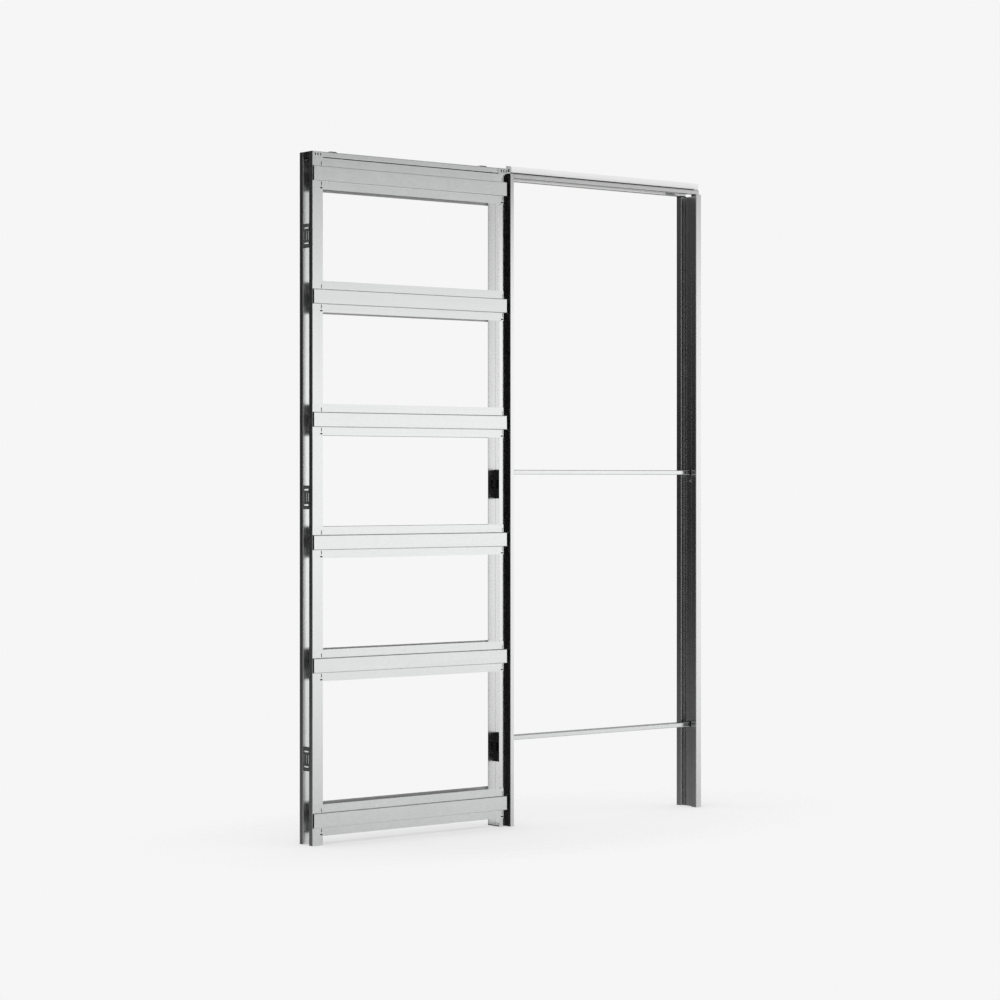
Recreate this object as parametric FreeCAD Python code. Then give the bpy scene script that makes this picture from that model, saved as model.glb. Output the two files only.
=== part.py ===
import FreeCAD, Part
import math
import os

Vec = FreeCAD.Vector

# Driving dimensions in millimetres: the opening and the wall
clear_width = 800.0
clear_height = 2100.0
wall_thickness = 100.0
core_depth = 70.0
pocket_length = 780.0

# Sheet metal
sheet = 1.0
jamb_sheet = 1.5
bend = 1.0

# Posts that close the pocket at its far end
post_face = 39.0
post_web = 19.0
post_inner_flange = 30.0

# Mouth posts: flange along the throat, lip that trims the board edge, seats for the bars
lip_width = 15.0
lip_seam = 0.3
throat_width = 57.0
throat_flange = 45.0
bar_seat_width = 3.5
bar_seat_height = 16.0

# Cross bars: a hat section screwed to the post faces
bar_height = 97.0
bar_band_height = 45.0
bar_band_rise = 10.0
bar_lip_gap = 11.0
bar_flange_lap = 12.0
rear_bar_inset = 12.0
bar_slot_inset = 6.5
bar_slot_width = 4.0
bar_slot_height = 12.0
bar_slot_offset = 31.0
bar_notch_width = 8.0
bar_notch_height = 3.0
bar_notch_rise = 5.0
bottom_bar_centre = 77.0
second_bar_centre = 552.0
top_bar_gap = 3.0
pitched_bars = 5

# Rail over the pocket and lugs on top of it
rail_rise = 30.0
rail_side = 16.5
lug_length = 28.0
lug_depth = 20.0
lug_height = 6.0
lug_round = 4.0
lug_inset = 95.0
rail_slot_width = 3.5
rail_slot_height = 8.0
rail_slot_drop = 9.0
rail_slot_pitch = 10.0
rail_slot_count = 3
end_slot_inset = 11.0
mouth_slot_inset = 20.0
end_stop_length = 36.0

# Track for the hangers
track_wall = 2.0
track_height = 23.0
track_slot = 24.0
track_kerb = 4.0
track_end_gap = 5.0

# Header over the passage
header_height = 38.5
header_lip_height = 13.5
header_top_flange = 15.0
header_lip_setback = 10.0
strip_height = 19.0

# Brackets that join rail and header at the mouth
bracket_length = 54.0
bracket_lap = 6.0
bracket_tab = 20.0
bracket_slot_width = 6.0
bracket_slot_height = 11.0
bracket_slot_rise = 11.5

# Strike jamb at the far side of the passage
jamb_face = 23.0
jamb_recess = 50.0
jamb_recess_depth = 13.0
jamb_cap_thickness = 4.0

# Spacer rods across the passage with their blocks and plugs
rod_height = 15.0
rod_depth = 30.0
rod_centres = (282.0, 1147.0)
block_height = 94.0
block_thickness = 16.0
block_wall = 4.0
block_hollow_height = 40.0
block_setback = 2.0
block_centres = (252.5, 1108.0)
block_window_height = 28.0
block_window_width = 15.0
block_window_offset = 13.5
plug_plate = 11.0
plug_spigot = 12.0
plug_clearance = 0.2

# Clips that bridge the slot between the end posts
clip_height = 73.0
clip_depth = 12.0
clip_wall = 2.0
clip_rise = 3.0
clip_pitch = 804.0
clip_count = 3
clip_slot_width = 27.0
clip_slot_height = 4.5
clip_slot_offset = 23.5
clip_slit_width = 4.2
clip_slit_height = 26.0
clip_slit_places = (-12.5, -2.5, 12.5)

# Plate on the floor that ties the mouth posts
floor_plate = 4.0

# Places worked out from the dimensions above
overall_length = pocket_length + clear_width + jamb_face
left_end = -overall_length / 2
mouth_end = left_end + pocket_length
strike_face = mouth_end + clear_width
right_end = left_end + overall_length
board_plane = core_depth / 2
lip_plane = wall_thickness / 2
throat_side = throat_width / 2
throat_face = throat_side + sheet
lip_side = mouth_end - lip_width
mouth_left = mouth_end - throat_flange
bar_flange_offset = (bar_height + bar_band_height) / 4
block_back = mouth_end - block_setback
block_face = block_back - block_thickness
recess_back = strike_face + jamb_recess_depth
jamb_top = clear_height - jamb_cap_thickness
header_top = clear_height + header_height
header_lip_top = clear_height + header_lip_height
pocket_height = clear_height + rail_rise
rail_bottom = pocket_height - rail_side
track_top = pocket_height - sheet
track_bottom = track_top - track_height
top_bar_centre = rail_bottom - top_bar_gap - bar_height / 2
bar_pitch = (top_bar_centre - second_bar_centre) / (pitched_bars - 1)
lowest_clip = pocket_height / 2 + clip_rise - clip_pitch * (clip_count - 1) / 2
bar_centres = [bottom_bar_centre]
bar_centres += [second_bar_centre + bar_pitch * step for step in range(pitched_bars)]


def left_normal(start, end, axis):
    """Unit vector square to a run and to the axis, on the left of the run."""
    return axis.cross(end - start).normalize()


def moved_sideways(points, axis, distance):
    """Polyline moved to its left by a distance, with mitred corners."""
    moved = []
    for index, point in enumerate(points):
        first = points[max(index - 1, 0)]
        last = points[min(index + 1, len(points) - 1)]
        before = left_normal(first, point, axis) if index else left_normal(point, last, axis)
        after = left_normal(point, last, axis) if last != point else before
        both = before + after
        moved.append(point + both * (2 * distance / both.dot(both)))
    return moved


def rounded_run(points, radii):
    """Edges along a polyline whose inner corners are rounded with tangent arcs."""
    edges = []
    start = points[0]
    for before, corner, after, radius in zip(points, points[1:], points[2:], radii):
        back = (before - corner).normalize()
        ahead = (after - corner).normalize()
        half_angle = back.getAngle(ahead) / 2
        middle_way = (back + ahead).normalize()
        arc_start = corner + back * (radius / math.tan(half_angle))
        arc_middle = corner + middle_way * (radius / math.sin(half_angle) - radius)
        arc_end = corner + ahead * (radius / math.tan(half_angle))
        edges.append(Part.LineSegment(start, arc_start).toShape())
        edges.append(Part.Arc(arc_start, arc_middle, arc_end).toShape())
        start = arc_end
    edges.append(Part.LineSegment(start, points[-1]).toShape())
    return edges


def folded(points, along, thickness):
    """Sheet folded along a polyline, its thickness on the left, drawn out along a vector."""
    axis = Vec(along).normalize()
    other = moved_sideways(points, axis, thickness)
    inner_radii = []
    outer_radii = []
    for before, corner, after in zip(points, points[1:], points[2:]):
        turns_left = left_normal(before, corner, axis).dot(after - corner) > 0
        inner_radii.append(bend + thickness if turns_left else bend)
        outer_radii.append(bend if turns_left else bend + thickness)
    edges = rounded_run(points, inner_radii)
    edges.append(Part.LineSegment(points[-1], other[-1]).toShape())
    edges += rounded_run(other[::-1], outer_radii[::-1])
    edges.append(Part.LineSegment(other[0], points[0]).toShape())
    return Part.Face(Part.Wire(Part.__sortEdges__(edges))).extrude(along)


def block(x_range, y_range, z_range):
    """Plain block between two values on each axis."""
    low = Vec(x_range[0], y_range[0], z_range[0])
    high = Vec(x_range[1], y_range[1], z_range[1])
    size = high - low
    return Part.makeBox(size.x, size.y, size.z, low)


def slab(x_range, width, z_range):
    """Block centred on the wall's middle plane."""
    return block(x_range, (-width / 2, width / 2), z_range)


def around(centre, size):
    """Range of a size about a centre."""
    return (centre - size / 2, centre + size / 2)


def rail_slots(first):
    """Row of upright slots near the rail's top, through both faces of the wall."""
    z_range = around(pocket_height - rail_slot_drop, rail_slot_height)
    places = [first + rail_slot_pitch * step for step in range(rail_slot_count)]
    cuts = [slab(around(place, rail_slot_width), wall_thickness, z_range) for place in places]
    return Part.makeCompound(cuts)


def upright(section, height, thickness):
    """Folded profile that stands on the floor, its section given as (x, y) points."""
    return folded([Vec(x, y, 0) for x, y in section], Vec(0, 0, height), thickness)


def level(section, start, end, thickness):
    """Folded profile that runs along the wall, its section given as (y, z) points."""
    return folded([Vec(start, y, z) for y, z in section], Vec(end - start, 0, 0), thickness)


def both_faces(shape):
    """Front piece and its mirror image on the rear face of the wall."""
    return {"front": shape, "rear": shape.mirror(Vec(0, 0, 0), Vec(0, 1, 0))}


def end_post():
    """Channel at the closed end of the pocket, its inner flange notched for the rail."""
    web_edge = post_web - board_plane
    section = [
        (left_end + post_inner_flange, web_edge),
        (left_end, web_edge),
        (left_end, -board_plane),
        (left_end + post_face, -board_plane),
    ]
    post = upright(section, pocket_height, sheet)
    notch = block(
        (left_end + sheet, left_end + post_face),
        (sheet - board_plane, web_edge),
        (rail_bottom, pocket_height),
    )
    return post.cut(notch).cut(end_slots)


def mouth_post():
    """Sheet folded to a throat flange and a closed lip, with seats behind the bars' flanges."""
    section = [
        (lip_side, -throat_face - lip_seam),
        (lip_side, -lip_plane),
        (mouth_end, -lip_plane),
        (mouth_end, -throat_side),
        (mouth_left, -throat_side),
    ]
    post = upright(section, track_top, sheet)
    post = post.cut(
        block((lip_side, mouth_end), (-lip_plane, -throat_face), (rail_bottom, track_top))
    )
    seats = []
    for centre in bar_centres:
        for offset in (-bar_flange_offset, bar_flange_offset):
            seat = block(
                (mouth_left, mouth_left + bar_seat_width),
                (-board_plane, -throat_face),
                around(centre + offset, bar_seat_height),
            )
            seats.append(seat)
    return post.fuse(seats).removeSplitter()


def cross_bar(centre, start):
    """Hat section with a raised band that is longer than its slotted flanges at the mouth."""
    flange_back = -board_plane
    band_back = sheet - board_plane - bar_band_rise
    half_bar = bar_height / 2
    half_band = bar_band_height / 2 - sheet
    section = [
        (flange_back, centre - half_bar),
        (flange_back, centre - half_band),
        (band_back, centre - half_band),
        (band_back, centre + half_band),
        (flange_back, centre + half_band),
        (flange_back, centre + half_bar),
    ]
    band_end = lip_side - bar_lip_gap
    bar = level(section, start, band_end, sheet)
    flange_ends = (mouth_left + bar_flange_lap, band_end)
    flange_plane = (flange_back - 2 * sheet - bend, flange_back)
    band_edge = bar_band_height / 2
    bar = bar.cut(block(flange_ends, flange_plane, (centre - half_bar, centre - band_edge)))
    bar = bar.cut(block(flange_ends, flange_plane, (centre + band_edge, centre + half_bar)))
    notch_centre = centre - half_bar + bar_notch_rise
    for place in (left_end + post_face - bar_slot_inset, mouth_left + bar_slot_inset):
        slot = around(place, bar_slot_width)
        for offset in (-bar_slot_offset, bar_slot_offset):
            bar = bar.cut(block(slot, flange_plane, around(centre + offset, bar_slot_height)))
        notch = around(place, bar_notch_width)
        bar = bar.cut(block(notch, flange_plane, around(notch_centre, bar_notch_height)))
    return bar


def pocket_rail():
    """Inverted channel behind the post faces that carries the track in the pocket."""
    side = board_plane - sheet
    section = [
        (side, rail_bottom),
        (side, pocket_height),
        (-side, pocket_height),
        (-side, rail_bottom),
    ]
    rail = level(section, left_end + sheet, mouth_end, sheet)
    return rail.cut(end_slots).cut(mouth_slots).cut(bracket_slot)


def rail_end_stop():
    """Moulded stop under the rail's closed end, clear of the rail's inner bends."""
    start = left_end + sheet
    width = 2 * (board_plane - 2 * sheet - bend)
    return slab((start, start + end_stop_length), width, (rail_bottom, track_top))


def mouth_packing():
    """Moulded packing between the rail's side and the head of the mouth post."""
    y_range = (2 * sheet - board_plane, -throat_face)
    return block((mouth_left, mouth_end), y_range, (rail_bottom, track_top - bend))


def hanger_track():
    """Extruded track with kerbed ledges on both sides of its slot."""
    slot_side = track_slot / 2
    section = [
        (slot_side, track_bottom + track_kerb),
        (slot_side, track_bottom),
        (throat_side, track_bottom),
        (throat_side, track_top),
        (-throat_side, track_top),
        (-throat_side, track_bottom),
        (-slot_side, track_bottom),
        (-slot_side, track_bottom + track_kerb),
    ]
    start = left_end + post_face + track_end_gap
    return level(section, start, right_end - track_end_gap, track_wall)


def rail_lug(place):
    """Rounded lug on the rail, where the frame is lifted and tied to the structure."""
    top = pocket_height + lug_height
    lug = slab(around(place, lug_length), lug_depth, (pocket_height, top))
    shoulders = [e for e in lug.Edges if e.BoundBox.ZMin > top - sheet and e.BoundBox.YLength > sheet]
    return lug.makeFillet(lug_round, shoulders)


def header_profile():
    """Header over the passage: the mouth profile laid level, with a flange on top."""
    section = [
        (header_top_flange - board_plane, header_top),
        (-board_plane, header_top),
        (-board_plane, header_lip_top),
        (-lip_plane, header_lip_top),
        (-lip_plane, clear_height),
        (-throat_side, clear_height),
        (-throat_side, track_top),
    ]
    profile = level(section, mouth_end, right_end, sheet)
    lip_end = block(
        (right_end - header_lip_setback, right_end),
        (-lip_plane, -board_plane),
        (clear_height, header_lip_top),
    )
    return profile.cut(lip_end)


def header_strip():
    """Flat coated strip on the header's board face, clear of the lip by a groove."""
    return block(
        (mouth_end, right_end),
        (-board_plane - sheet, -board_plane),
        (header_top - strip_height, header_top),
    )


def mouth_bracket():
    """Slotted plate that joins the pocket's rail to the header above the mouth lip."""
    plane = (-board_plane, sheet - board_plane)
    plate = block((mouth_end - bracket_length, lip_side), plane, (rail_bottom - bracket_lap, pocket_height))
    tab = block((mouth_end - bracket_tab, mouth_end), plane, (rail_bottom, header_top))
    return plate.fuse(tab).removeSplitter().cut(mouth_slots).cut(bracket_slot)


def strike_jamb():
    """Jamb that the door closes against, folded round a recess, its top notched for the caps."""
    recess = jamb_recess / 2
    section = [
        (right_end, lip_plane),
        (strike_face, lip_plane),
        (strike_face, recess),
        (recess_back, recess),
        (recess_back, -recess),
        (strike_face, -recess),
        (strike_face, -lip_plane),
        (right_end, -lip_plane),
    ]
    gap_width = wall_thickness - 2 * (jamb_sheet + bend)
    gap = slab((strike_face, right_end), gap_width, (jamb_top, clear_height))
    return upright(section, clear_height, jamb_sheet).cut(gap)


def jamb_cap():
    """Moulded plate between a strike face and the header, inside the jamb's outer face."""
    y_range = (jamb_sheet + bend - lip_plane, -jamb_recess / 2)
    return block((strike_face, right_end), y_range, (jamb_top, clear_height))


def spacer_block(centre):
    """Moulded block that holds the throat open, hollowed behind two windows in its face."""
    inside = block_face + block_wall
    hollow_back = block_back - block_wall
    body = slab((block_face, block_back), throat_width, around(centre, block_height))
    hollow_width = throat_width - 2 * block_wall
    body = body.cut(slab((inside, hollow_back), hollow_width, around(centre, block_hollow_height)))
    for offset in (-block_window_offset, block_window_offset):
        window = block(
            (block_face, inside),
            around(offset, block_window_width),
            around(centre, block_window_height),
        )
        body = body.cut(window)
    return body


def spacer_rod(centre):
    """Thin channel across the passage, its web to the front."""
    half_depth = rod_depth / 2
    half_height = rod_height / 2
    section = [
        (half_depth, centre + half_height),
        (-half_depth, centre + half_height),
        (-half_depth, centre - half_height),
        (half_depth, centre - half_height),
    ]
    return level(section, block_back, recess_back - plug_plate, sheet)


def rod_plug(centre):
    """Moulded plug in the jamb's recess, with a spigot inside the rod's end."""
    plate_start = recess_back - plug_plate
    plate = slab((plate_start, recess_back), rod_depth, around(centre, rod_height))
    spigot_side = rod_depth / 2 - sheet - bend
    spigot = block(
        (plate_start - plug_spigot, plate_start),
        (-spigot_side, spigot_side),
        around(centre, rod_height - 2 * sheet - 2 * plug_clearance),
    )
    return plate.fuse(spigot).removeSplitter()


def end_clip(centre):
    """Moulded plate between the end posts, with end walls, two slots and slits beside its latch."""
    slot_between_posts = core_depth - 2 * post_web
    plate = (left_end, left_end + clip_wall)
    clip = slab((left_end, left_end + clip_depth), slot_between_posts, around(centre, clip_height))
    behind = (left_end + clip_wall, left_end + clip_depth)
    clip = clip.cut(slab(behind, slot_between_posts, around(centre, clip_height - 2 * clip_wall)))
    for offset in (-clip_slot_offset, clip_slot_offset):
        clip = clip.cut(slab(plate, clip_slot_width, around(centre + offset, clip_slot_height)))
    for place in clip_slit_places:
        clip = clip.cut(block(plate, around(place, clip_slit_width), around(centre, clip_slit_height)))
    return clip


def mouth_floor_plate():
    """Plate on the floor that keeps the mouth posts apart."""
    return slab((mouth_left, mouth_end), throat_width, (0, floor_plate))


end_slots = rail_slots(left_end + end_slot_inset)
mouth_slots = rail_slots(mouth_end - mouth_slot_inset - rail_slot_pitch * (rail_slot_count - 1))
bracket_slot = slab(
    around(mouth_end - bracket_tab / 2, bracket_slot_width),
    wall_thickness,
    around(rail_bottom + bracket_slot_rise, bracket_slot_height),
)

nodes = {
    "pocket_rail": pocket_rail(),
    "hanger_track": hanger_track(),
    "mouth_floor_plate": mouth_floor_plate(),
    "strike_jamb": strike_jamb(),
    "rail_end_stop": rail_end_stop(),
}
for face, shape in both_faces(end_post()).items():
    nodes[f"end_{face}_post"] = shape
for face, shape in both_faces(mouth_post()).items():
    nodes[f"mouth_{face}_post"] = shape
for number, centre in enumerate(bar_centres, 1):
    nodes[f"front_bar_{number}"] = cross_bar(centre, left_end)
    nodes[f"rear_bar_{number}"] = both_faces(cross_bar(centre, left_end + rear_bar_inset))["rear"]
for face, shape in both_faces(header_profile()).items():
    nodes[f"header_{face}_profile"] = shape
for face, shape in both_faces(header_strip()).items():
    nodes[f"header_{face}_strip"] = shape
for face, shape in both_faces(mouth_bracket()).items():
    nodes[f"mouth_{face}_bracket"] = shape
for face, shape in both_faces(mouth_packing()).items():
    nodes[f"mouth_{face}_packing"] = shape
for face, shape in both_faces(jamb_cap()).items():
    nodes[f"jamb_{face}_cap"] = shape
for number in range(clip_count):
    nodes[f"end_clip_{number + 1}"] = end_clip(lowest_clip + clip_pitch * number)
for number, place in enumerate((left_end + lug_inset, mouth_end - lug_inset), 1):
    nodes[f"rail_lug_{number}"] = rail_lug(place)
for place, rod_centre, block_centre in zip(("lower", "upper"), rod_centres, block_centres):
    nodes[f"{place}_spacer_block"] = spacer_block(block_centre)
    nodes[f"{place}_spacer_rod"] = spacer_rod(rod_centre)
    nodes[f"{place}_rod_plug"] = rod_plug(rod_centre)

os.makedirs("parts", exist_ok=True)
for name, shape in nodes.items():
    shape.exportStep(f"parts/{name}.step")
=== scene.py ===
import bmesh
import bpy
import numpy as np
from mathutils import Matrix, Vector


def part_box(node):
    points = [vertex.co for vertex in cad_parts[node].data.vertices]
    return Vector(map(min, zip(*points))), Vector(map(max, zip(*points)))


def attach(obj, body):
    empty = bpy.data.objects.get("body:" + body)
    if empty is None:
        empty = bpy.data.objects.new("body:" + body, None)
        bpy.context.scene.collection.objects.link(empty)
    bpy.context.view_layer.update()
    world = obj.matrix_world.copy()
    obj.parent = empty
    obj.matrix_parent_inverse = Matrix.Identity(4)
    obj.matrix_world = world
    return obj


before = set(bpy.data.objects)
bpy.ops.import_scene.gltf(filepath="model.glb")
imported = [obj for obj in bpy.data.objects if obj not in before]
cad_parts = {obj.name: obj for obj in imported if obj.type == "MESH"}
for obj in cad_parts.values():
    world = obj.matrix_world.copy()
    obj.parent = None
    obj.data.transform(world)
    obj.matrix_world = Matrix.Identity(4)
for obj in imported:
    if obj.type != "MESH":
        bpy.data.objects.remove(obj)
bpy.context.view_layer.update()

# Standpoint of the picture: level with the middle of the frame, off to the pocket's side.
# Upright edges stay parallel, so the camera is level and its film is shifted down a little.
standpoint = (-5.4400, -6.7891, 1.1195)
view_along = Vector((0.62251, 0.78261, 0.0))
image_width = 1000.0
focal_length = 2670.0
horizon_above_centre = 19.4
camera_data = bpy.data.cameras.new("camera")
camera_data.lens = camera_data.sensor_width * focal_length / image_width
camera_data.shift_y = -horizon_above_centre / image_width
camera = bpy.data.objects.new("camera", camera_data)
camera.location = standpoint
camera.rotation_mode = "QUATERNION"
camera.rotation_quaternion = view_along.to_track_quat("-Z", "Y")
bpy.context.scene.collection.objects.link(camera)
bpy.context.scene.camera = camera
bpy.context.scene.view_settings.view_transform = "Standard"


# Studio round the frame: an even white tent, which lights all faces alike and is the backdrop.
# Metal mirrors it in zones. Ahead of the frame are a bright wall, a grey side and a black flag on
# that side. Behind the frame are a lit band, an unlit room and the darker corner of that room.
tent_tone = 1.0
backdrop_tone = 0.92
horizon_height = 0.5
wall_tones = [
    (0.0, 0.70), (0.32, 0.70), (0.380, 0.12), (0.405, 0.08), (0.432, 0.57), (0.452, 1.13), (0.540, 1.37),
    (0.562, 0.25), (0.585, 0.0), (0.64, 0.10), (0.74, 0.45),
]
side_tones = [
    (0.0, 0.70), (0.30, 0.60), (0.400, 0.46), (0.450, 0.42), (0.540, 0.42), (0.575, 0.15), (0.600, 0.06),
    (0.66, 0.10), (0.78, 0.45),
]
flag_tones = [
    (0.0, 0.70), (0.30, 0.60), (0.370, 0.36), (0.400, 0.16), (0.425, 0.03), (0.450, 0.01), (0.560, 0.01),
    (0.600, 0.02), (0.66, 0.10), (0.78, 0.45),
]
band_tones = [
    (0.0, 0.60), (0.32, 0.60), (0.395, 0.10), (0.450, 0.06), (0.472, 0.90), (0.535, 0.90), (0.560, 0.20),
    (0.600, 0.10), (0.64, 0.10), (0.74, 0.45),
]
room_tones = [
    (0.0, 0.70), (0.32, 0.60), (0.420, 0.29), (0.445, 0.16), (0.465, 0.05), (0.485, 0.01), (0.510, 0.01),
    (0.530, 0.05), (0.555, 0.10), (0.600, 0.04), (0.68, 0.06), (0.78, 0.45),
]
corner_tones = [
    (0.0, 0.70), (0.32, 0.60), (0.400, 0.20), (0.430, 0.06), (0.455, 0.02), (0.485, 0.01), (0.540, 0.01),
    (0.600, 0.01), (0.68, 0.06), (0.78, 0.45),
]
# One zone gives way to the next over a soft edge: a range of the outward direction's Y for
# what is behind, and of its X for the others.
behind_edge = (-0.25, 0.25)
side_edge = (0.05, -0.30)
flag_near_edge = (-0.36, -0.48)
flag_far_edge = (-0.85, -0.75)
corner_edge = (-0.68, -0.58)


def add(tree, kind, **settings):
    """New node of a kind in a tree, with its settings or the values of its named inputs."""
    node = tree.nodes.new(kind)
    for name, value in settings.items():
        if hasattr(node, name):
            setattr(node, name, value)
        else:
            node.inputs[name.replace("_", " ")].default_value = value
    return node


def joined(tree, value, socket):
    """A link, or a plain value, set on an input."""
    if isinstance(value, bpy.types.NodeSocket):
        tree.links.new(value, socket)
    else:
        socket.default_value = value


def grey(tone):
    """Colour of one tone in red, green and blue."""
    return (tone, tone, tone, 1.0)


def tone_ramp(tree, height, stops):
    """Grey tones over the height, eased between stops of (height, tone): a height of 0 is straight
    down, a half is the horizon and 1 is straight up."""
    node = add(tree, "ShaderNodeValToRGB")
    node.color_ramp.interpolation = "EASE"
    for index, (place, tone) in enumerate(stops):
        if index < len(node.color_ramp.elements):
            stop = node.color_ramp.elements[index]
            stop.position = place
        else:
            stop = node.color_ramp.elements.new(place)
        stop.color = grey(tone)
    tree.links.new(height, node.inputs["Fac"])
    return node.outputs["Color"]


def mixed(tree, factor, low, high):
    """Colour between two links or plain colours, by a factor."""
    node = add(tree, "ShaderNodeMix", data_type="RGBA")
    by_name = {socket.identifier: socket for socket in list(node.inputs) + list(node.outputs)}
    joined(tree, factor, by_name["Factor_Float"])
    joined(tree, low, by_name["A_Color"])
    joined(tree, high, by_name["B_Color"])
    return by_name["Result_Color"]


def eased(tree, value, low, high):
    """Smooth step of a value from 0 at low to 1 at high."""
    node = add(tree, "ShaderNodeMapRange", interpolation_type="SMOOTHSTEP", From_Min=low, From_Max=high)
    tree.links.new(value, node.inputs["Value"])
    return node.outputs["Result"]


def worked(tree, operation, *terms):
    """Result of a Math node on links or plain numbers."""
    node = add(tree, "ShaderNodeMath", operation=operation)
    for term, socket in zip(terms, node.inputs):
        joined(tree, term, socket)
    return node.outputs[0]


world = bpy.data.worlds.new("studio")
bpy.context.scene.world = world
world.use_nodes = True
world.cycles.sampling_method = "NONE"
tent = world.node_tree
tent.nodes.clear()
rays = add(tent, "ShaderNodeLightPath").outputs
outward = add(tent, "ShaderNodeSeparateXYZ")
tent.links.new(add(tent, "ShaderNodeTexCoord").outputs["Generated"], outward.inputs[0])
height = worked(tent, "MULTIPLY_ADD", outward.outputs["Z"], horizon_height, horizon_height)
wall, side, flag, band, room, corner = (
    tone_ramp(tent, height, tones)
    for tones in (wall_tones, side_tones, flag_tones, band_tones, room_tones, corner_tones)
)
to_behind = eased(tent, outward.outputs["Y"], *behind_edge)
to_side = eased(tent, outward.outputs["X"], *side_edge)
to_corner = eased(tent, outward.outputs["X"], *corner_edge)
past_near_edge = eased(tent, outward.outputs["X"], *flag_near_edge)
before_far_edge = eased(tent, outward.outputs["X"], *flag_far_edge)
on_flag = worked(tent, "MULTIPLY", past_near_edge, before_far_edge)
ahead = mixed(tent, to_side, wall, mixed(tent, on_flag, side, flag))
behind = mixed(tent, to_side, band, mixed(tent, to_corner, room, corner))
mirrored = mixed(tent, to_behind, ahead, behind)
lit = mixed(tent, rays["Is Glossy Ray"], grey(tent_tone), mirrored)
seen = worked(tent, "MAXIMUM", rays["Is Camera Ray"], rays["Is Transmission Ray"])
background = add(tent, "ShaderNodeBackground")
tent.links.new(mixed(tent, seen, lit, grey(backdrop_tone)), background.inputs["Color"])
world_end = add(tent, "ShaderNodeOutputWorld")
tent.links.new(background.outputs[0], world_end.inputs["Surface"])


# Floor of the tent: an oval of pale paper that takes a soft shadow and fades into the backdrop.
# Half of it is a glow at the backdrop's tone, painted light that makes its shadow fainter. Its colour
# equals the backdrop's tone, so that no edge shows.
floor_radius = 2.6
floor_rings = 40
floor_spokes = 96
floor_reach = (1.25, 0.62, 1.0)
floor_fade = (0.7, 1.3)
floor_glow = 0.5
same_point = 1e-6
sharp_edge = np.radians(60.0)


def full_turn(steps):
    """Angles at even steps round a full turn."""
    return np.arange(steps) * 2 * np.pi / steps


def disc(radius, rings, spokes):
    """Flat round: points at even radii r and angles a, x = r cos a and y = r sin a."""
    r, a = np.meshgrid(np.linspace(0.0, radius, rings), full_turn(spokes), indexing="ij")
    return np.stack([r * np.cos(a), r * np.sin(a), np.zeros_like(r)], axis=-1)


def shell_faces(rows, columns):
    """Quads between neighbours on a grid that closes on itself across its columns."""
    here = np.arange(rows - 1)[:, None] * columns + np.arange(columns)
    beside = np.arange(rows - 1)[:, None] * columns + np.roll(np.arange(columns), -1)
    return np.stack([here, beside, beside + columns, here + columns], axis=-1).reshape(-1, 4)


def new_piece(name, points, faces):
    """Mesh object at the origin from arrays of points and quads, closed where a ring is one point."""
    mesh = bpy.data.meshes.new(name)
    mesh.from_pydata(points.reshape(-1, 3).tolist(), [], faces.tolist())
    shell = bmesh.new()
    shell.from_mesh(mesh)
    bmesh.ops.remove_doubles(shell, verts=shell.verts, dist=same_point)
    shell.to_mesh(mesh)
    shell.free()
    mesh.shade_smooth()
    mesh.set_sharp_from_angle(angle=sharp_edge)
    piece = bpy.data.objects.new(name, mesh)
    bpy.context.scene.collection.objects.link(piece)
    return piece


def new_material(name):
    """Empty node material with its output, and the two as a pair."""
    material = bpy.data.materials.new(name)
    material.use_nodes = True
    material.node_tree.nodes.clear()
    return material, add(material.node_tree, "ShaderNodeOutputMaterial")


floor_faces = shell_faces(floor_rings, floor_spokes)[:, ::-1]
floor = new_piece("studio_floor", disc(floor_radius, floor_rings, floor_spokes), floor_faces)
floor.visible_glossy = False
paper, paper_end = new_material("floor_paper")
tree = paper.node_tree
oval = add(tree, "ShaderNodeVectorMath", operation="DIVIDE")
tree.links.new(add(tree, "ShaderNodeTexCoord").outputs["Object"], oval.inputs[0])
oval.inputs[1].default_value = floor_reach
reach = add(tree, "ShaderNodeVectorMath", operation="LENGTH")
tree.links.new(oval.outputs["Vector"], reach.inputs[0])
# Painted light: half the floor glows at the backdrop's tone.
sheet = add(tree, "ShaderNodeMixShader", Fac=floor_glow)
tree.links.new(add(tree, "ShaderNodeBsdfDiffuse", Color=grey(backdrop_tone)).outputs[0], sheet.inputs[1])
tree.links.new(add(tree, "ShaderNodeEmission", Color=grey(backdrop_tone)).outputs[0], sheet.inputs[2])
clear = add(tree, "ShaderNodeBsdfTransparent")
fading = add(tree, "ShaderNodeMixShader")
tree.links.new(eased(tree, reach.outputs["Value"], *floor_fade), fading.inputs["Fac"])
tree.links.new(sheet.outputs[0], fading.inputs[1])
tree.links.new(clear.outputs[0], fading.inputs[2])
tree.links.new(fading.outputs[0], paper_end.inputs["Surface"])
floor.data.materials.append(paper)


# Posts at the closed end of the pocket: channels roll-formed from hot-dip galvanised steel strip.
# The zinc has small crystals, a cloudy bloom and fine rolling lines along the strip.
post_zinc_light = (0.815, 0.822, 0.819, 1.0)
post_zinc_dark = (0.737, 0.748, 0.748, 1.0)
post_roughness = 0.22
lines_up = (1.0, 1.0, 0.006)
zinc_crystal = 170.0
crystal_softness = 0.35
crystal_share = 0.42
crystal_relief = 0.6
cloud_scale = 11.0
cloud_detail = 4.0
cloud_roughness = 0.6
cloud_range = (0.28, 0.72)
cloud_share = 0.38
speckle_scale = 75.0
speckle_share = 0.20
zinc_fineness = 420.0
line_detail = 3.0
line_roughness = 0.65
line_polish = 0.07
line_relief = 0.02
bloom_polish = 0.04
bloom_relief = 0.03
wave_scale = 5.0
wave_detail = 1.0
sheet_relief = 0.00010
# Painted shade: a dark grey painted on the back faces of sheets, within a small reach of their planes, for
# the shadow there.
painted_shade_tone = grey(0.27)
painted_shade_reach = 0.0004


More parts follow.
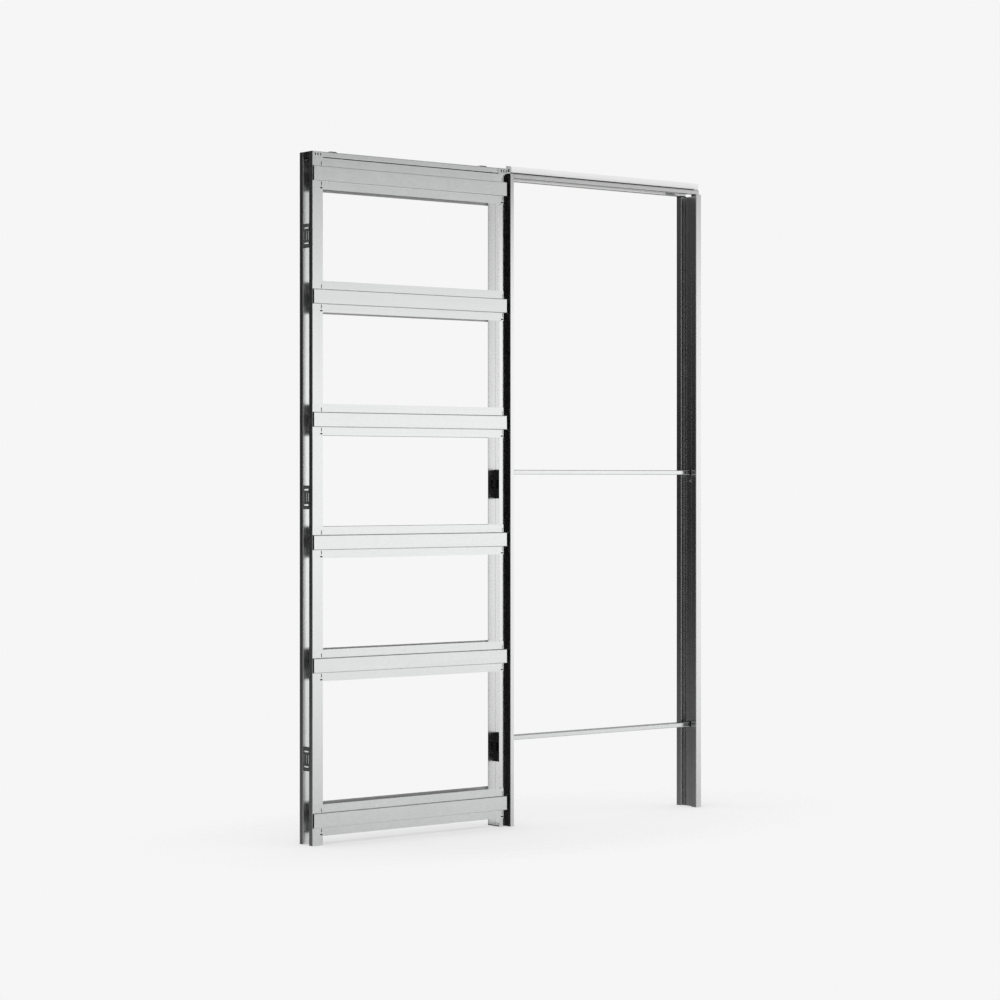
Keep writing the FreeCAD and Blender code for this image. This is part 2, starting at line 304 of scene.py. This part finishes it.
def new_group(name, inputs, outputs):
    """Node group with inputs and outputs of (name, kind), and its two ends."""
    tree = bpy.data.node_groups.new(name, "ShaderNodeTree")
    for way, sockets in (("INPUT", inputs), ("OUTPUT", outputs)):
        for label, kind in sockets:
            tree.interface.new_socket(label, in_out=way, socket_type=f"NodeSocket{kind}")
    return tree, add(tree, "NodeGroupInput").outputs, add(tree, "NodeGroupOutput").inputs


def placed(tree, group, **values):
    """A node group put into a material, with its inputs linked or set, and its outputs."""
    node = add(tree, "ShaderNodeGroup", node_tree=group)
    for name, value in values.items():
        joined(tree, value, node.inputs[name])
    return node.outputs


def noise_at(tree, place, scale, detail=2.0, roughness=0.5):
    """Value of a noise texture at a place."""
    node = add(tree, "ShaderNodeTexNoise", Detail=detail, Roughness=roughness)
    tree.links.new(place, node.inputs["Vector"])
    joined(tree, scale, node.inputs["Scale"])
    return node.outputs["Fac"]


zinc_bloom, given, gives = new_group(
    "zinc_bloom",
    [("Place", "Vector"), ("Light", "Color"), ("Dark", "Color"), ("Crystal", "Float")],
    [("Color", "Color"), ("Tone", "Float"), ("Height", "Float")],
)
crystals = add(zinc_bloom, "ShaderNodeTexVoronoi", feature="SMOOTH_F1", Smoothness=crystal_softness)
zinc_bloom.links.new(given["Place"], crystals.inputs["Vector"])
zinc_bloom.links.new(given["Crystal"], crystals.inputs["Scale"])
facets = add(zinc_bloom, "ShaderNodeSeparateColor")
zinc_bloom.links.new(crystals.outputs["Color"], facets.inputs[0])
cloud = noise_at(zinc_bloom, given["Place"], cloud_scale, cloud_detail, cloud_roughness)
cloud = eased(zinc_bloom, cloud, *cloud_range)
speckle = noise_at(zinc_bloom, given["Place"], speckle_scale)
tone = worked(zinc_bloom, "MULTIPLY", cloud, cloud_share)
tone = worked(zinc_bloom, "MULTIPLY_ADD", facets.outputs[0], crystal_share, tone)
tone = worked(zinc_bloom, "MULTIPLY_ADD", speckle, speckle_share, tone)
relief = worked(zinc_bloom, "MULTIPLY_ADD", facets.outputs[1], crystal_relief, cloud)
zinc_bloom.links.new(mixed(zinc_bloom, tone, given["Dark"], given["Light"]), gives["Color"])
zinc_bloom.links.new(tone, gives["Tone"])
zinc_bloom.links.new(relief, gives["Height"])

rolled_lines, given, gives = new_group(
    "rolled_lines",
    [("Place", "Vector"), ("Stretch", "Vector"), ("Fineness", "Float")],
    [("Lines", "Float"), ("Wave", "Float")],
)
drawn = add(rolled_lines, "ShaderNodeVectorMath", operation="MULTIPLY")
rolled_lines.links.new(given["Place"], drawn.inputs[0])
rolled_lines.links.new(given["Stretch"], drawn.inputs[1])
lines = noise_at(rolled_lines, drawn.outputs[0], given["Fineness"], line_detail, line_roughness)
rolled_lines.links.new(lines, gives["Lines"])
rolled_lines.links.new(noise_at(rolled_lines, given["Place"], wave_scale, wave_detail), gives["Wave"])


def sheet_metal(
    name, stretch, light, dark, roughness, crystal=zinc_crystal, fineness=zinc_fineness, painted_shade_planes=()
):
    """Bare metal sheet: bloom in its colour, lines and bloom in its polish, and a faint relief.
    Planes of (axis, distance from the origin) are given for the back faces of the sheet; on each the colour
    is painted a dark grey, as painted shade for the shadow there."""
    material, end = new_material(name)
    tree = material.node_tree
    place = add(tree, "ShaderNodeTexCoord").outputs["Object"]
    bloom = placed(tree, zinc_bloom, Place=place, Light=light, Dark=dark, Crystal=crystal)
    rolled = placed(tree, rolled_lines, Place=place, Stretch=stretch, Fineness=fineness)
    colour = bloom["Color"]
    # Painted shade on each back face's plane.
    for axis, distance in painted_shade_planes:
        across = add(tree, "ShaderNodeSeparateXYZ")
        tree.links.new(place, across.inputs[0])
        from_origin = worked(tree, "ABSOLUTE", across.outputs[axis])
        on_painted_shade = worked(tree, "COMPARE", from_origin, distance, painted_shade_reach)
        colour = mixed(tree, on_painted_shade, colour, painted_shade_tone)
    smoothest = roughness - (line_polish + bloom_polish) / 2
    polish = worked(tree, "MULTIPLY_ADD", rolled["Lines"], line_polish, smoothest)
    polish = worked(tree, "MULTIPLY_ADD", bloom["Tone"], bloom_polish, polish)
    relief = worked(tree, "MULTIPLY", bloom["Height"], bloom_relief)
    relief = worked(tree, "MULTIPLY_ADD", rolled["Lines"], line_relief, relief)
    relief = worked(tree, "ADD", rolled["Wave"], relief)
    bump = add(tree, "ShaderNodeBump", Strength=1.0, Distance=sheet_relief)
    tree.links.new(relief, bump.inputs["Height"])
    shader = add(tree, "ShaderNodeBsdfPrincipled", Metallic=1.0)
    tree.links.new(colour, shader.inputs["Base Color"])
    tree.links.new(polish, shader.inputs["Roughness"])
    tree.links.new(bump.outputs["Normal"], shader.inputs["Normal"])
    tree.links.new(shader.outputs[0], end.inputs["Surface"])
    return material


def dress(finish, *names):
    """Give nodes of the model a finish."""
    for name in names:
        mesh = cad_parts[name].data
        mesh.materials.clear()
        mesh.materials.append(finish)


post_zinc = sheet_metal("post_zinc", lines_up, post_zinc_light, post_zinc_dark, post_roughness)
dress(post_zinc, "end_front_post", "end_rear_post")


# Cross bars: hat sections of zinc strip, with the rolling lines along the bar. On the back faces of
# the front bars' flanges and of every bar's band a dark grey is painted: painted shade, for the shadow
# in the channels. The rear bars are of a duller, rougher strip, painted paler than the front bars:
# painted light in the shade of the pocket. Tongues lanced out of the posts hook into slots at both
# ends of each bar.
bar_zinc_light = (0.812, 0.820, 0.819, 1.0)
bar_zinc_dark = (0.724, 0.735, 0.737, 1.0)
bar_roughness = 0.22
# Painted light: the rear bars' zinc is a paler copy of the front bars' zinc, to light them in the shade of
# the pocket; its roughness is their real duller finish.
rear_zinc_painted_pale = (0.900, 0.905, 0.903, 1.0)
rear_zinc_painted_deep = (0.840, 0.847, 0.848, 1.0)
dull_roughness = 0.60
lines_level = (0.006, 1.0, 1.0)
bar_sheet = 0.001
bar_count = 6
front_bars = [f"front_bar_{number}" for number in range(1, bar_count + 1)]
rear_bars = [f"rear_bar_{number}" for number in range(1, bar_count + 1)]
bar_boxes = np.array([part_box(name) for name in front_bars])
bar_middles = bar_boxes[:, :, 2].mean(axis=1)
# Painted shade planes: the back faces of the flange and of the band.
flange_shade_plane = ("Y", abs(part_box("front_bar_1")[1][1]))
band_shade_plane = ("Y", abs(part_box("front_bar_1")[0][1]) - bar_sheet)
post_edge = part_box("end_front_post")[1][0]
post_face = abs(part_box("end_front_post")[0][1])
mouth_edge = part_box("mouth_front_post")[0][0]
hook_half = np.array([0.0005, 0.0014, 0.0060])
hook_offset = 0.031
hook_post_inset = 0.0050
hook_mouth_inset = 0.0080
hook_rise = 0.0008
block_rows = 9
block_columns = 20
block_power = 0.35


def squared_off(wave, power):
    """A sine or cosine raised to a small power with its sign kept, so that a round turns square."""
    return np.sign(wave) * np.abs(wave) ** power


def rounded_blocks(centres, half_sizes):
    """Rounded blocks: on angles u and v, x = a cos u cos v, y = b sin u cos v and z = c sin v,
    with every sine and cosine squared off."""
    turns = np.linspace(-np.pi / 2, np.pi / 2, block_rows)
    v, u = np.meshgrid(turns, full_turn(block_columns), indexing="ij")
    girth = squared_off(np.cos(v), block_power)
    across = squared_off(np.cos(u), block_power) * girth
    along = squared_off(np.sin(u), block_power) * girth
    shape = np.stack([across, along, squared_off(np.sin(v), block_power)], axis=-1)
    points = np.asarray(centres)[:, None, None, :] + shape * np.asarray(half_sizes)
    shifts = np.arange(len(centres))[:, None, None] * block_rows * block_columns
    return points, (shell_faces(block_rows, block_columns) + shifts).reshape(-1, 4)


def grid_of(*axes):
    """Every combination of values on three axes, as an array of points."""
    return np.stack(np.meshgrid(*axes, indexing="ij"), axis=-1).reshape(-1, 3)


bar_zinc = sheet_metal(
    "bar_zinc", lines_level, bar_zinc_light, bar_zinc_dark, bar_roughness, painted_shade_planes=(flange_shade_plane, band_shade_plane)
)
dress(bar_zinc, *front_bars)
rear_zinc_painted_light = sheet_metal(
    "bar_zinc_dull_painted_light", lines_level, rear_zinc_painted_pale, rear_zinc_painted_deep, dull_roughness, painted_shade_planes=(band_shade_plane,)
)
dress(rear_zinc_painted_light, *rear_bars)
hook_places = (post_edge - hook_post_inset, mouth_edge + hook_mouth_inset)
hook_faces = (-post_face - hook_rise, post_face + hook_rise)
hook_heights = (bar_middles[:, None] + np.array([-hook_offset, hook_offset])).ravel()
hook_centres = grid_of(hook_places, hook_faces, hook_heights)
hooks = new_piece("bar_hooks", *rounded_blocks(hook_centres, hook_half))
hooks.data.materials.append(post_zinc)
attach(hooks, "root")


# Mouth posts, their floor plate and the brackets over them: trim steel, passed once more through
# polished rolls, folded to a throat flange and to the closed lip that trims the board. The lip's
# board side is painted a dark grey: painted shade, for the shadow behind the lip. The rear post is
# of a duller, rougher strip, painted paler than the trim steel: painted light on its shaded inner face.
trim_light = (0.730, 0.735, 0.732, 1.0)
trim_dark = (0.685, 0.692, 0.690, 1.0)
trim_roughness = 0.15
trim_crystal = 260.0
trim_fineness = 620.0
# Painted light: the rear post's steel is a paler copy of the trim steel, to light its inner face in the
# shade of the throat; its roughness is its real duller finish.
throat_painted_pale = (0.825, 0.830, 0.826, 1.0)
throat_painted_deep = (0.780, 0.787, 0.785, 1.0)
throat_roughness = 0.28
# Painted shade plane: the board side of the lip.
lip_width = 0.015
lip_shade_plane = ("X", abs(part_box("mouth_front_post")[1][0]) + lip_width)
trim_upright = sheet_metal(
    "trim_steel_upright", lines_up, trim_light, trim_dark, trim_roughness,
    trim_crystal, trim_fineness, (lip_shade_plane,),
)
dress(trim_upright, "mouth_front_post", "mouth_floor_plate", "mouth_front_bracket", "mouth_rear_bracket")
throat_steel_painted_light = sheet_metal(
    "trim_steel_dull_painted_light", lines_up, throat_painted_pale, throat_painted_deep, throat_roughness,
    trim_crystal, trim_fineness, (lip_shade_plane,),
)
dress(throat_steel_painted_light, "mouth_rear_post")


# Rail over the pocket: an inverted channel of zinc strip that carries the track, with black
# mouldings packed in at its ends; the black of the mouth packings is partly painted shade, for the
# shade inside the rail. Two grey lugs on it tie the frame to the wall. A thin black strip under each
# of its sides is painted shade: a dark thing put in the gap over the top bar, where the pocket's shade
# shows.
moulded_black = (0.010, 0.010, 0.011, 1.0)
moulded_black_worn = (0.019, 0.019, 0.020, 1.0)
moulded_black_gloss = 0.2
lug_grey = (0.060, 0.060, 0.061, 1.0)
lug_grey_worn = (0.090, 0.090, 0.091, 1.0)
flow_scale = 38.0
flow_detail = 3.0
flow_roughness = 0.6
rubbed_range = (0.45, 0.75)
rubbed_polish = -0.10
moulded_roughness = 0.55
moulded_index = 1.48
moulded_gloss = 0.5
pit_scale = 900.0
pit_strength = 0.35
pit_depth = 0.0004
# Painted shade: black strips in the gap between the rail's sides and the top bar.
gap_shade_half = (0.0005, 0.0011)
gap_shade_clearance = 0.0005
gap_shade_start = post_edge + gap_shade_clearance
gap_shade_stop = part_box("mouth_front_bracket")[0][0] - gap_shade_clearance
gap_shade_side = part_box("pocket_rail")[1][1] - gap_shade_half[0]
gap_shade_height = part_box("pocket_rail")[0][2] - gap_shade_half[1]
bead_columns = 16
bead_power = 0.5
dress(sheet_metal("rail_zinc", lines_level, bar_zinc_light, bar_zinc_dark, bar_roughness), "pocket_rail")

moulded_grain, given, gives = new_group(
    "moulded_grain",
    [("Place", "Vector"), ("Body", "Color"), ("Worn", "Color"), ("Grain", "Float")],
    [("Color", "Color"), ("Polish", "Float"), ("Height", "Float")],
)
flow = noise_at(moulded_grain, given["Place"], flow_scale, flow_detail, flow_roughness)
pits = add(moulded_grain, "ShaderNodeTexVoronoi", feature="F1")
moulded_grain.links.new(given["Place"], pits.inputs["Vector"])
moulded_grain.links.new(given["Grain"], pits.inputs["Scale"])
rubbed = eased(moulded_grain, flow, *rubbed_range)
polish = worked(moulded_grain, "MULTIPLY_ADD", rubbed, rubbed_polish, moulded_roughness)
moulded_grain.links.new(mixed(moulded_grain, rubbed, given["Body"], given["Worn"]), gives["Color"])
moulded_grain.links.new(polish, gives["Polish"])
moulded_grain.links.new(pits.outputs["Distance"], gives["Height"])


def moulding(name, body, worn, grain=pit_scale, gloss=moulded_gloss):
    """Moulded plastic: an eroded grain, with paler and smoother places where hands rub it."""
    material, end = new_material(name)
    tree = material.node_tree
    place = add(tree, "ShaderNodeTexCoord").outputs["Object"]
    grained = placed(tree, moulded_grain, Place=place, Body=body, Worn=worn, Grain=grain)
    bump = add(tree, "ShaderNodeBump", Strength=pit_strength, Distance=pit_depth)
    tree.links.new(grained["Height"], bump.inputs["Height"])
    shader = add(tree, "ShaderNodeBsdfPrincipled", IOR=moulded_index, Specular_IOR_Level=gloss)
    tree.links.new(grained["Color"], shader.inputs["Base Color"])
    tree.links.new(grained["Polish"], shader.inputs["Roughness"])
    tree.links.new(bump.outputs["Normal"], shader.inputs["Normal"])
    tree.links.new(shader.outputs[0], end.inputs["Surface"])
    return material


def beads(start, end, middles, half_sizes):
    """Level beads: on the angle u, y = b cos u and z = c sin u with both waves squared off,
    swept along X from start to end, where the section shrinks to a point and closes."""
    u = full_turn(bead_columns)
    ring = squared_off(np.stack([np.cos(u), np.sin(u)], axis=-1), bead_power) * np.asarray(half_sizes)
    along = np.array([start, start, end, end])
    swell = np.array([0.0, 1.0, 1.0, 0.0])
    rows = len(along)
    points = np.empty((len(middles), rows, bead_columns, 3))
    points[..., 0] = along[:, None]
    points[..., 1:] = np.asarray(middles)[:, None, None, :] + swell[:, None, None] * ring
    shifts = np.arange(len(middles))[:, None, None] * rows * bead_columns
    return points, (shell_faces(rows, bead_columns) + shifts).reshape(-1, 4)


dress(moulding("lug_plastic", lug_grey, lug_grey_worn), "rail_lug_1", "rail_lug_2")
black_plastic = moulding("black_plastic", moulded_black, moulded_black_worn, gloss=moulded_black_gloss)
# The mouth packings' black is partly painted shade, for the shade inside the rail's ends.
dress(black_plastic, "rail_end_stop", "mouth_front_packing", "mouth_rear_packing")
# Painted shade strips under the rail's sides.
gap_shade_middles = [(side * gap_shade_side, gap_shade_height) for side in (-1, 1)]
rail_gap_shades = new_piece("rail_gap_shades", *beads(gap_shade_start, gap_shade_stop, gap_shade_middles, gap_shade_half))
rail_gap_shades.data.materials.append(black_plastic)
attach(rail_gap_shades, "root")


# Small black blocks at the ends of the bars, against the posts and the lower flange of each bar:
# painted shade, dark things put where slots in the flange show the shade inside.
slot_shade_half = np.array([0.0044, 0.0014, 0.0022])
slot_shade_inset = 0.0065
slot_shade_rise = 0.0002
slot_shade_above_edge = 0.005
slot_shade_places = (post_edge - slot_shade_inset, mouth_edge + slot_shade_inset)
slot_shade_faces = (-post_face - slot_shade_rise, post_face + slot_shade_rise)
slot_shade_heights = bar_boxes[:, 0, 2] + slot_shade_above_edge
slot_shade_centres = grid_of(slot_shade_places, slot_shade_faces, slot_shade_heights)
slot_shades = new_piece("bar_slot_shades", *rounded_blocks(slot_shade_centres, slot_shade_half))
slot_shades.data.materials.append(black_plastic)
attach(slot_shades, "root")


# Track for the door's hangers: one aluminium extrusion through the pocket and over the passage.
# The metal is left bare and shows the straight lines of the die. The rail and the header hold it.
track_light = (0.820, 0.825, 0.834, 1.0)
track_dark = (0.740, 0.746, 0.758, 1.0)
track_roughness = 0.14
track_crystal = 60.0
track_fineness = 900.0
track_aluminium = sheet_metal(
    "track_aluminium", lines_level, track_light, track_dark, track_roughness, track_crystal, track_fineness
)
dress(track_aluminium, "hanger_track")


# Header over the passage: the trim steel laid level, one profile on each face of the wall.
# A coated strip covers its board face, painted white on the coil before it is slit, over black beads
# in the groove above the lip: painted shade, dark things put in for the shadow in that groove. A
# pale pile seal lines the slot that the door hangs in.
strip_white = (0.880, 0.880, 0.875, 1.0)
strip_shade = (0.845, 0.846, 0.842, 1.0)
coat_crystal = 500.0
coat_fineness = 300.0
coat_roughness = 0.36
coat_index = 1.5
streak_polish = 0.12
peel_scale = 700.0
peel_strength = 0.4
peel_depth = 0.00012
header_start, header_stop = (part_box("header_front_strip")[end][0] for end in (0, 1))
board_face = abs(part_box("header_front_strip")[1][1])
groove_shade_half = (0.0008, 0.0019)
groove_shade_height = 2.1166
groove_shade_cut = 0.020
pile_light = (0.880, 0.880, 0.870, 1.0)
pile_worn = (0.820, 0.820, 0.810, 1.0)
pile_grain = 2400.0
pile_half = (0.0008, 0.0027)
pile_side = 0.0277
pile_height = 2.1033
pile_cut = 0.095
header_steel = sheet_metal(
    "trim_steel_level", lines_level, trim_light, trim_dark, trim_roughness, trim_crystal, trim_fineness
)
dress(header_steel, "header_front_profile", "header_rear_profile")
coated, coated_end = new_material("white_coated_steel")
tree = coated.node_tree
place = add(tree, "ShaderNodeTexCoord").outputs["Object"]
coat = placed(tree, zinc_bloom, Place=place, Light=strip_white, Dark=strip_shade, Crystal=coat_crystal)
streaks = placed(tree, rolled_lines, Place=place, Stretch=lines_level, Fineness=coat_fineness)
polish = worked(tree, "MULTIPLY_ADD", streaks["Lines"], streak_polish, coat_roughness)
peel = add(tree, "ShaderNodeBump", Strength=peel_strength, Distance=peel_depth)
tree.links.new(noise_at(tree, place, peel_scale), peel.inputs["Height"])
shader = add(tree, "ShaderNodeBsdfPrincipled", IOR=coat_index)
tree.links.new(coat["Color"], shader.inputs["Base Color"])
tree.links.new(polish, shader.inputs["Roughness"])
tree.links.new(peel.outputs["Normal"], shader.inputs["Normal"])
tree.links.new(shader.outputs[0], coated_end.inputs["Surface"])
dress(coated, "header_front_strip", "header_rear_strip")
# Painted shade: a black bead along each groove above the lip, for the shadow there.
groove_shade_middles = [(side * (board_face + groove_shade_half[0]), groove_shade_height) for side in (-1, 1)]
groove_shade = new_piece("header_groove_shades", *beads(header_start, header_stop - groove_shade_cut, groove_shade_middles, groove_shade_half))
groove_shade.data.materials.append(black_plastic)
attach(groove_shade, "root")
pile_middles = [(side * pile_side, pile_height) for side in (-1, 1)]
pile = new_piece("header_pile_seals", *beads(header_start, header_stop - pile_cut, pile_middles, pile_half))
pile.data.materials.append(moulding("pile_seal", pile_light, pile_worn, pile_grain))
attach(pile, "root")


# Jamb that the door closes against: heavier steel folded round a recess, with a duller zinc skin.
# Two black moulded caps part it from the header; their black is partly painted shade, for the
# header's shadow on the jamb's top. One dark pan-head screw in the recess holds it to the wall.
jamb_light = (0.740, 0.744, 0.741, 1.0)
jamb_dark = (0.688, 0.694, 0.692, 1.0)
jamb_roughness = 0.19
jamb_crystal = 200.0
screw_light = (0.430, 0.430, 0.425, 1.0)
screw_dark = (0.360, 0.362, 0.360, 1.0)
screw_place = np.array([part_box("lower_rod_plug")[1][0], -0.007, 1.120])
screw_radius = 0.0048
screw_rise = 0.0022
screw_rows = 15
screw_columns = 40
dome_fall = 0.35
arm_width = 0.16
arm_power = 4
cross_width = 0.55
cross_power = 6
cross_depth = 0.55


def screw_head():
    """Pan head with a cross recess, turned about the X axis: over radius r the dome falls as the
    square of r, and a cross of two narrow bells cuts into its middle; its rim drops to the seat,
    which closes it."""
    radii = np.append(np.linspace(0.0, 1.0, screw_rows - 1), 0.0)
    r, a = np.meshgrid(radii, full_turn(screw_columns), indexing="ij")
    y = r * np.cos(a)
    z = r * np.sin(a)
    arms = np.exp(-((y / arm_width) ** arm_power)) + np.exp(-((z / arm_width) ** arm_power))
    cross = np.clip(arms, 0.0, 1.0) * np.exp(-((r / cross_width) ** cross_power))
    dome = screw_rise * (1.0 - dome_fall * r**2 - cross_depth * cross)
    dome[-2:] = 0.0
    return np.stack([-dome, screw_radius * y, screw_radius * z], axis=-1)


jamb_zinc = sheet_metal("jamb_zinc", lines_up, jamb_light, jamb_dark, jamb_roughness, jamb_crystal)
dress(jamb_zinc, "strike_jamb")
# The caps' black is partly painted shade under the header.
dress(black_plastic, "jamb_front_cap", "jamb_rear_cap")
screw = new_piece("jamb_screw", screw_head() + screw_place, shell_faces(screw_rows, screw_columns))
screw.data.materials.append(sheet_metal("screw_zinc", lines_up, screw_light, screw_dark, jamb_roughness))
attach(screw, "root")


# Spacer rods hold the passage at its width until the wall is closed: light zinc channels.
# Each is held by a black moulded block in the throat and by a plug in the jamb's recess.
rod_zinc = sheet_metal("rod_zinc", lines_level, bar_zinc_light, bar_zinc_dark, bar_roughness)
dress(rod_zinc, "lower_spacer_rod", "upper_spacer_rod")
dress(black_plastic, "lower_spacer_block", "upper_spacer_block", "lower_rod_plug", "upper_rod_plug")


# Clips that bridge the gap between the end posts: grey plates, moulded with slots and slits.
# They snap in between the two webs and keep the pocket at its width.
clip_grey = (0.045, 0.046, 0.048, 1.0)
clip_grey_worn = (0.075, 0.076, 0.078, 1.0)
dress(moulding("grey_plastic", clip_grey, clip_grey_worn), "end_clip_1", "end_clip_2", "end_clip_3")
